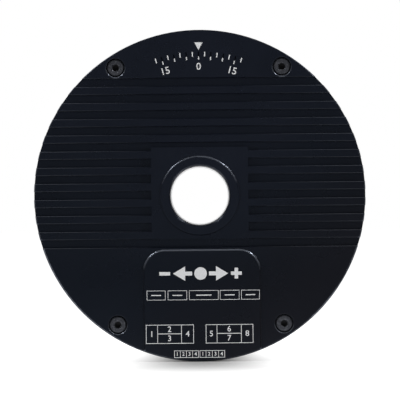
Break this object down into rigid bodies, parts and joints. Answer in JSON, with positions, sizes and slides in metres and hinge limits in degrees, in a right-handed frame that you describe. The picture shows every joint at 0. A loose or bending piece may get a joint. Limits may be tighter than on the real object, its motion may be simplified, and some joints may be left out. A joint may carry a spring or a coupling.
{
  "type": "robot joint actuator",
  "caption": "Hollow-shaft rotary actuator with frameless motor, compound planetary gear, finned rear cover and bolted output flange.",
  "frame": {"origin": "centre of the front mounting face, on the axis of rotation", "axes": "+Y along the axis towards the output flange, -Y towards the finned rear cover, +Z away from the connectors, +X to the right as seen from the rear"},
  "size_m": [0.142, 0.0761, 0.142],
  "materials": {
    "black_anodised": "fine bead-blasted black anodising",
    "dark_screw": "dark burnished steel",
    "machined_aluminium": "machined",
    "gear_steel": "ground",
    "bearing_steel": "polished",
    "laminated_steel": "stamped and varnished",
    "copper": "enamelled wire",
    "bronze": "turned",
    "contact_gold": "plated",
    "magnet": "nickel plated",
    "bonded_magnet": "matt",
    "circuit_board": "solder mask",
    "chip": "moulded",
    "thermal_pad": "soft",
    "seal_rubber": "matt",
    "connector_plastic": "moulded",
    "bezel_plastic": "moulded"
  },
  "bodies": {
    "housing": {"rear_cover": "black_anodised", "cover_screws": "dark_screw", "connector_bezel": "bezel_plastic", "power_connectors": "connector_plastic", "signal_connectors": "connector_plastic", "power_contacts": "contact_gold", "signal_contacts": "contact_gold", "controller_board": "circuit_board", "power_transistors": "chip", "thermal_pad": "thermal_pad", "bus_capacitors": "machined_aluminium", "encoder_sensors": "chip", "board_standoffs": "machined_aluminium", "board_screws": "dark_screw", "driver_plate": "machined_aluminium", "driver_plate_screws": "dark_screw", "motor_housing": "black_anodised", "stator_core": "laminated_steel", "stator_windings": "copper", "phase_leads": "copper", "fixed_ring_gear": "gear_steel", "ring_gear_screws": "dark_screw", "front_housing": "black_anodised", "housing_screws": "dark_screw", "output_seal": "seal_rubber", "output_bearing_outer_ring": "bearing_steel", "outer_lock_ring": "gear_steel", "rotor_bearing_outer_rings": "bearing_steel"},
    "output": {"output_flange": "machined_aluminium", "output_ring_gear": "gear_steel", "ring_gear_keys": "bearing_steel", "output_bearing_inner_ring": "bearing_steel", "inner_lock_ring": "gear_steel", "hollow_tube": "machined_aluminium", "output_encoder_magnet": "bonded_magnet"},
    "rotor": {"rotor_sleeve": "gear_steel", "sun_gear": "gear_steel", "rotor_hub": "machined_aluminium", "rotor_back_iron": "laminated_steel", "rotor_magnets": "magnet", "rotor_bearing_inner_rings": "bearing_steel", "rotor_lock_nut": "gear_steel", "rotor_encoder_magnet": "bonded_magnet"},
    "carrier": {"carrier_rear_plate": "machined_aluminium", "carrier_front_plate": "machined_aluminium", "carrier_screws": "dark_screw", "planet_pins": "bearing_steel", "carrier_bush": "bronze"},
    "output_roller_set": {"output_bearing_rollers": "bearing_steel"},
    "rotor_roller_set": {"rotor_bearing_rollers": "bearing_steel"},
    "planet_1": {"planet_gear_1": "gear_steel", "planet_bush_1": "bronze"},
    "planet_2": {"planet_gear_2": "gear_steel", "planet_bush_2": "bronze"},
    "planet_3": {"planet_gear_3": "gear_steel", "planet_bush_3": "bronze"},
    "planet_4": {"planet_gear_4": "gear_steel", "planet_bush_4": "bronze"}
  },
  "joints": [
    {"name": "output_spin", "type": "hinge", "parent": "housing", "child": "output", "pos_m": [0, 0, 0], "axis": [0, 1, 0], "continuous": true},
    {"name": "rotor_spin", "type": "hinge", "parent": "housing", "child": "rotor", "pos_m": [0, 0, 0], "axis": [0, 1, 0], "continuous": true},
    {"name": "carrier_spin", "type": "hinge", "parent": "housing", "child": "carrier", "pos_m": [0, 0, 0], "axis": [0, 1, 0], "continuous": true},
    {"name": "output_roller_orbit", "type": "hinge", "parent": "housing", "child": "output_roller_set", "pos_m": [0, 0, 0], "axis": [0, 1, 0], "continuous": true},
    {"name": "rotor_roller_orbit", "type": "hinge", "parent": "housing", "child": "rotor_roller_set", "pos_m": [0, 0, 0], "axis": [0, 1, 0], "continuous": true},
    {"name": "planet_1_spin", "type": "hinge", "parent": "carrier", "child": "planet_1", "pos_m": [0.035, 0, 0], "axis": [0, 1, 0], "continuous": true},
    {"name": "planet_2_spin", "type": "hinge", "parent": "carrier", "child": "planet_2", "pos_m": [0, 0, 0.035], "axis": [0, 1, 0], "continuous": true},
    {"name": "planet_3_spin", "type": "hinge", "parent": "carrier", "child": "planet_3", "pos_m": [-0.035, 0, 0], "axis": [0, 1, 0], "continuous": true},
    {"name": "planet_4_spin", "type": "hinge", "parent": "carrier", "child": "planet_4", "pos_m": [0, 0, -0.035], "axis": [0, 1, 0], "continuous": true}
  ],
  "couplings": [
    {"joint": "rotor_spin", "follows": "output_spin", "ratio": 20},
    {"joint": "carrier_spin", "follows": "output_spin", "ratio": 6.4286},
    {"joint": "output_roller_orbit", "follows": "output_spin", "ratio": 0.4845},
    {"joint": "rotor_roller_orbit", "follows": "output_spin", "ratio": 9.439},
    {"joint": "planet_1_spin", "follows": "output_spin", "ratio": -24.429},
    {"joint": "planet_2_spin", "follows": "output_spin", "ratio": -24.429},
    {"joint": "planet_3_spin", "follows": "output_spin", "ratio": -24.429},
    {"joint": "planet_4_spin", "follows": "output_spin", "ratio": -24.429}
  ]
}
